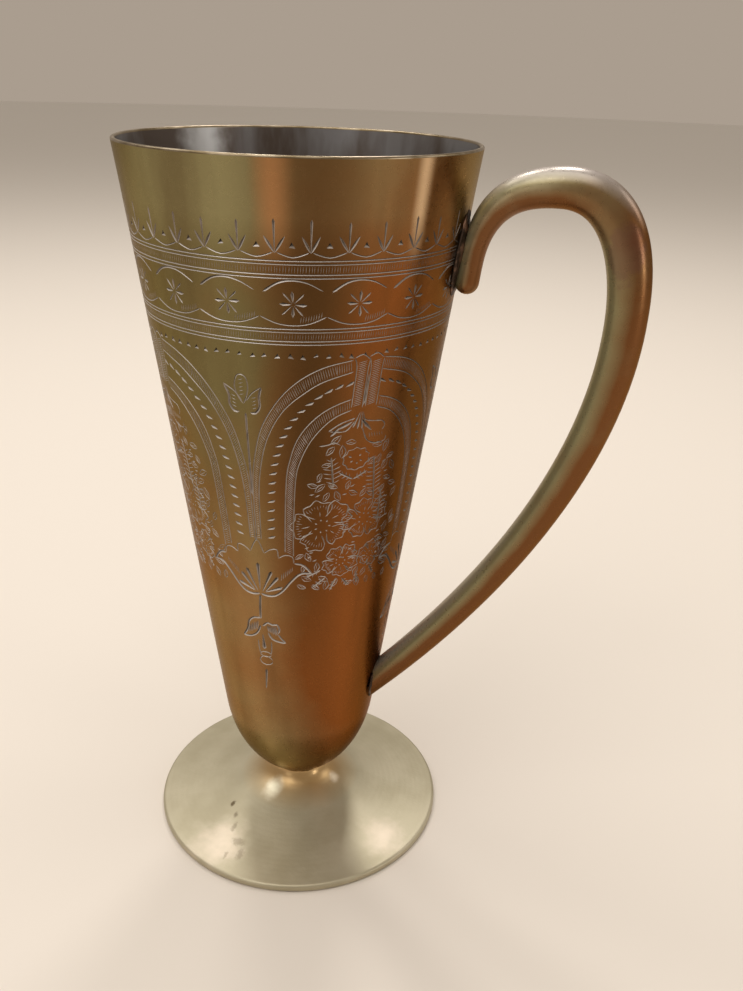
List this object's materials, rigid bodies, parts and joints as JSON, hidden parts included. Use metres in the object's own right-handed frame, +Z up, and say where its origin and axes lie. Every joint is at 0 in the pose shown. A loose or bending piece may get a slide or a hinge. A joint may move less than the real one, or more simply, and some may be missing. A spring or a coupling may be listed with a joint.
{
  "type": "footed mug",
  "caption": "Tall footed brass mug: a tapering engraved cup soldered on a trumpet foot, with a hooked loop handle for the fingers.",
  "frame": {"origin": "middle of the ground that the mug covers, on the surface that it stands on; the cup's own axis is 19.2 mm to the -X side", "axes": "+Z up along the cup's axis, +X from the cup's axis towards the handle, +Y across the handle's plane"},
  "size_m": [0.119, 0.0806, 0.181],
  "materials": {
    "cup_brass": "satin, engraved outside and tin-wiped inside",
    "foot_brass": "rubbed satin with pits and stains",
    "handle_brass": "polished by handling",
    "solder": "dull, sooty brazing solder"
  },
  "bodies": {
    "root": {"cup": "cup_brass", "foot": "foot_brass", "foot_solder": "solder", "handle": "handle_brass", "hook_solder": "solder", "tail_solder": "solder"}
  },
  "joints": []
}
